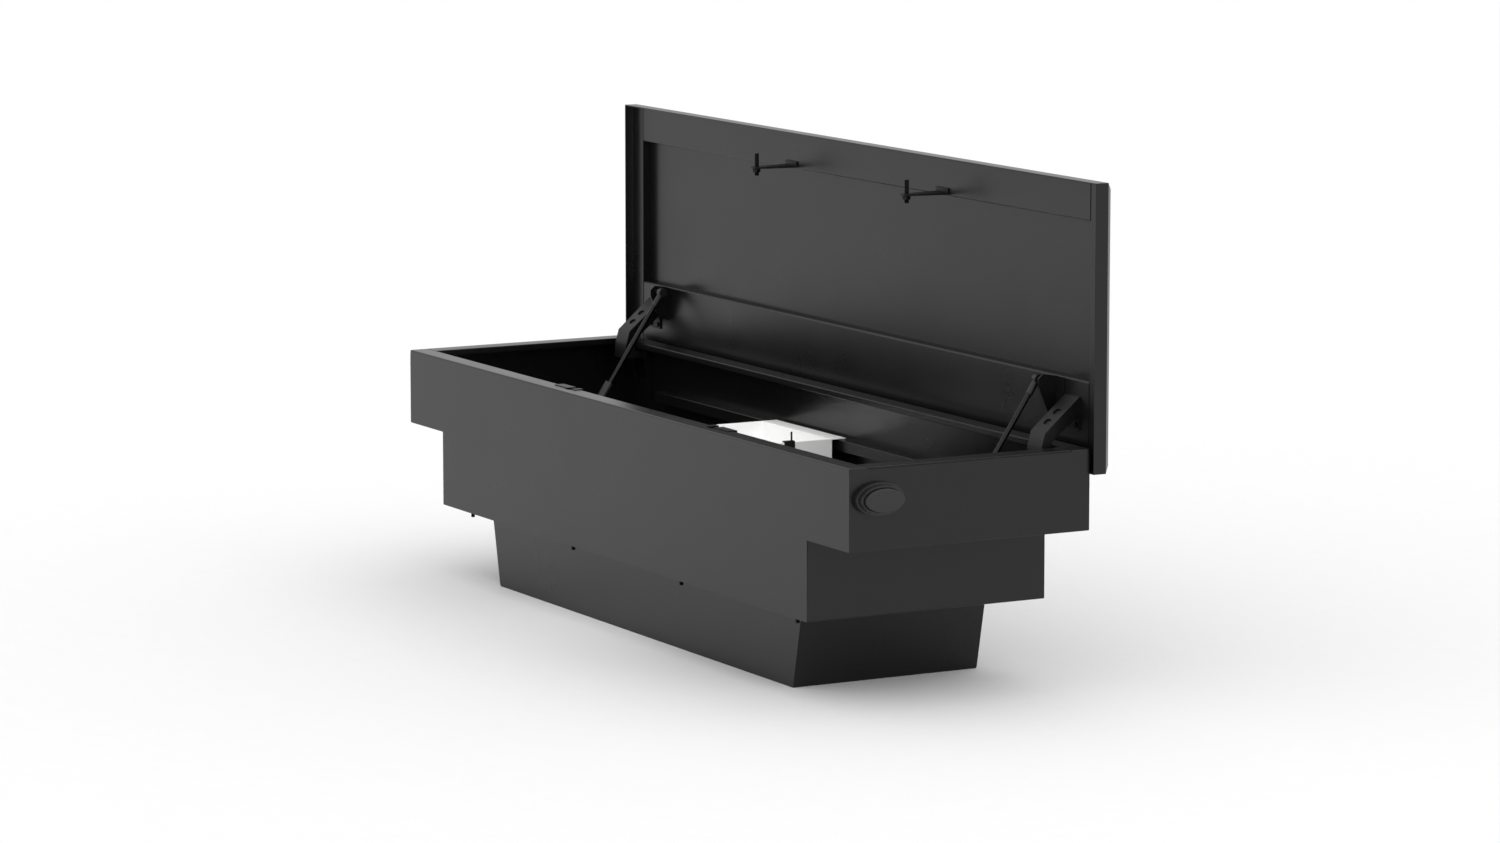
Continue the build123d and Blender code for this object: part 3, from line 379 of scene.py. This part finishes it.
# %% [markdown]
# ## Screw threads
# The striker bolts and the studs under the ledges are threaded rod. A thread is one ridge wound
# round the rod, so it can be drawn as a grid of rings whose radius rises and falls with height and
# with angle together. Coarse pitch is 1.25 mm on an 8 mm rod and 1.5 mm on a 10 mm one. The root
# lies 0.6 of the pitch inside the crest.

# %% Wind the threads
ROUND_STEPS, ROWS_PER_TURN = 28, 6
THREAD_DEPTH, TAPER_DEPTH = 0.6, 0.9            # in pitches, and the share of it cut off at the ends


def threaded_rod(shape, foot, top_z, radius, pitch, lead_in=1.0 * MM):
    """Add an upright threaded rod, from foot up to top_z, with tapered ends, to a bmesh."""
    long = top_z - foot.z
    rows = max(2, round(long / pitch * ROWS_PER_TURN))
    rings = []
    for row in range(rows + 1):
        up = long * row / rows
        taper = min(up, long - up, lead_in) / lead_in
        ring = []
        for step in range(ROUND_STEPS):
            turn = step / ROUND_STEPS
            wave = abs(((up / pitch + turn) % 1.0) * 2 - 1)
            r = radius - THREAD_DEPTH * pitch * max(wave, TAPER_DEPTH * (1 - taper))
            angle = 2 * math.pi * turn
            ring.append(shape.verts.new((foot.x + r * math.cos(angle), foot.y + r * math.sin(angle),
                                         foot.z + up)))
        rings.append(ring)
    for low_ring, high_ring in zip(rings, rings[1:]):
        for step in range(ROUND_STEPS):
            after = (step + 1) % ROUND_STEPS
            shape.faces.new((low_ring[step], low_ring[after], high_ring[after], high_ring[step]))
    shape.faces.new(list(reversed(rings[0])))
    shape.faces.new(rings[-1])


def round_disc(shape, centre, radius, low_z, high_z, corners, edge):
    """Add an upright disc or hexagon with broken edges to a bmesh."""
    made = bmesh.ops.create_cone(
        shape, cap_ends=True, segments=corners, radius1=radius, radius2=radius, depth=high_z - low_z,
        matrix=Matrix.Translation((centre.x, centre.y, (low_z + high_z) / 2)))
    rims = {e for v in made["verts"] for e in v.link_edges
            if abs(e.verts[0].co.z - e.verts[1].co.z) < 1e-6}
    bmesh.ops.bevel(shape, geom=list(rims), offset=edge, segments=2, profile=0.5, affect="EDGES")


def solids_of(node):
    """(lowest corner, highest corner) of each separate solid in a node."""
    shape = flat_faced(nodes[node])
    todo, boxes = set(shape.verts), []
    while todo:
        group, front = set(), {todo.pop()}
        while front:
            vert = front.pop()
            group.add(vert)
            front |= {e.other_vert(vert) for e in vert.link_edges} - group
        todo -= group
        boxes.append((Vector([min(v.co[i] for v in group) for i in range(3)]),
                      Vector([max(v.co[i] for v in group) for i in range(3)])))
    shape.free()
    return sorted(boxes, key=lambda box: tuple(box[0]))


BOLT_R, BOLT_PITCH, NUT_R, NUT_THICK = 4.75 * MM, 1.5 * MM, 8.5 * MM, 6.5 * MM
STUD_R, STUD_PITCH, COLLAR_R, COLLAR_THICK = 4.0 * MM, 1.25 * MM, 7.0 * MM, 3.0 * MM
ARM_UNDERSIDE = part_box("striker_bracket_right")[0].z

bolts = bmesh.new()
for low, high in solids_of("striker_bolts"):
    middle = (low + high) / 2
    threaded_rod(bolts, Vector((middle.x, middle.y, low.z)), high.z, BOLT_R, BOLT_PITCH)
    round_disc(bolts, middle, NUT_R, ARM_UNDERSIDE - NUT_THICK, ARM_UNDERSIDE, 6, 0.7 * MM)
new_piece("striker_bolts_threaded", bolts, zinc, "lid", "striker_bolts")

studs = bmesh.new()
for low, high in solids_of("mounting_studs"):
    middle = (low + high) / 2
    threaded_rod(studs, Vector((middle.x, middle.y, low.z)), high.z, STUD_R, STUD_PITCH)
    round_disc(studs, middle, COLLAR_R, high.z - COLLAR_THICK, high.z, 6, 0.5 * MM)
new_piece("mounting_studs_threaded", studs, zinc, "box", "mounting_studs")
print("threads on", *(f"{len(solids_of(n))} {n}" for n in ("striker_bolts", "mounting_studs")))

# %% [markdown]
# ## Floor and studio light
# A product studio for a black object is mostly white: a pale floor under it and a soft box above.
# Black paint has hardly any colour of its own, so what models it is the white room reflected in
# its sheen. The front is seen at a shallow angle and mirrors more of the room, so it reads lighter
# than the right end does. The white tray sits deep in the tub, where little light reaches, so a
# narrow spot with soft edges lifts it back to white.

# %% Build the studio
FLOOR_HALF, FIBRE_MM = 30.0, 40.0
floor_mesh = bpy.data.meshes.new("studio_floor")
floor_corners = [(x * FLOOR_HALF, y * FLOOR_HALF, 0.0) for x, y in ((-1, -1), (1, -1), (1, 1), (-1, 1))]
floor_mesh.from_pydata(floor_corners, [], [(0, 1, 2, 3)])
floor = bpy.data.objects.new("studio_floor", floor_mesh)
bpy.context.scene.collection.objects.link(floor)

paper, tree, out, place = blank("matt_white_studio_paper")
fibre = add(tree, "ShaderNodeTexNoise", Vector=place, Scale=per_metre(FIBRE_MM), Detail=3.0)
tint = add(tree, "ShaderNodeValToRGB", Fac=fibre.outputs["Fac"])
tint.color_ramp.elements[0].color = linear("#F2F2F2")
tint.color_ramp.elements[1].color = linear("#F5F5F5")
shader = add(tree, "ShaderNodeBsdfPrincipled", Base_Color=tint.outputs["Color"], Roughness=0.9)
shader.inputs["Specular IOR Level"].default_value = 0.1
tree.links.new(shader.outputs[0], out.inputs[0])
floor_mesh.materials.append(paper)

BRIGHT_SIDE = (0.35, 0.10, 0.931)      # the room is brightest overhead
DIM_LEVEL, BRIGHT_LEVEL = 0.46, 1.27
world = bpy.data.worlds.new("studio")
bpy.context.scene.world = world
world.use_nodes = True
sky = world.node_tree
direction = add(sky, "ShaderNodeTexCoord").outputs["Generated"]
towards = add(sky, "ShaderNodeVectorMath", {"operation": "DOT_PRODUCT"}, i0=direction,
              i1=BRIGHT_SIDE).outputs["Value"]
level = add(sky, "ShaderNodeMapRange", Value=towards, From_Min=-1.0, From_Max=1.0,
            To_Min=DIM_LEVEL, To_Max=BRIGHT_LEVEL).outputs["Result"]
sky.links.new(level, sky.nodes["Background"].inputs["Strength"])
sky.nodes["Background"].inputs["Color"].default_value = (1.0, 1.0, 1.0, 1.0)
bpy.context.scene.view_settings.view_transform = "Standard"


def soft_box(name, place, aim, width, height, watts):
    """A rectangular area light at place, turned to face aim."""
    data = bpy.data.lights.new(name, "AREA")
    data.shape, data.size, data.size_y, data.energy = "RECTANGLE", width, height, watts
    light = bpy.data.objects.new(name, data)
    light.location = place
    light.rotation_euler = (Vector(aim) - Vector(place)).to_track_quat("-Z", "Y").to_euler()
    bpy.context.scene.collection.objects.link(light)


soft_box("top_box", (0.3, -0.8, 4.5), (0.0, 0.0, 0.3), 5.0, 5.0, 4.0)

tray_low, tray_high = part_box("tray")
SPOT_PLACE, SPOT_WATTS, SPOT_SPREAD, SPOT_SIZE = (1.7, -1.3, 2.6), 420.0, math.radians(13), 0.30
spot_data = bpy.data.lights.new("tray_spot", "SPOT")
spot_data.energy, spot_data.shadow_soft_size = SPOT_WATTS, SPOT_SIZE
spot_data.spot_size, spot_data.spot_blend = SPOT_SPREAD, 1.0
spot = bpy.data.objects.new("tray_spot", spot_data)
spot.location = SPOT_PLACE
spot.rotation_euler = ((tray_low + tray_high) / 2 - Vector(SPOT_PLACE)).to_track_quat("-Z", "Y").to_euler()
bpy.context.scene.collection.objects.link(spot)
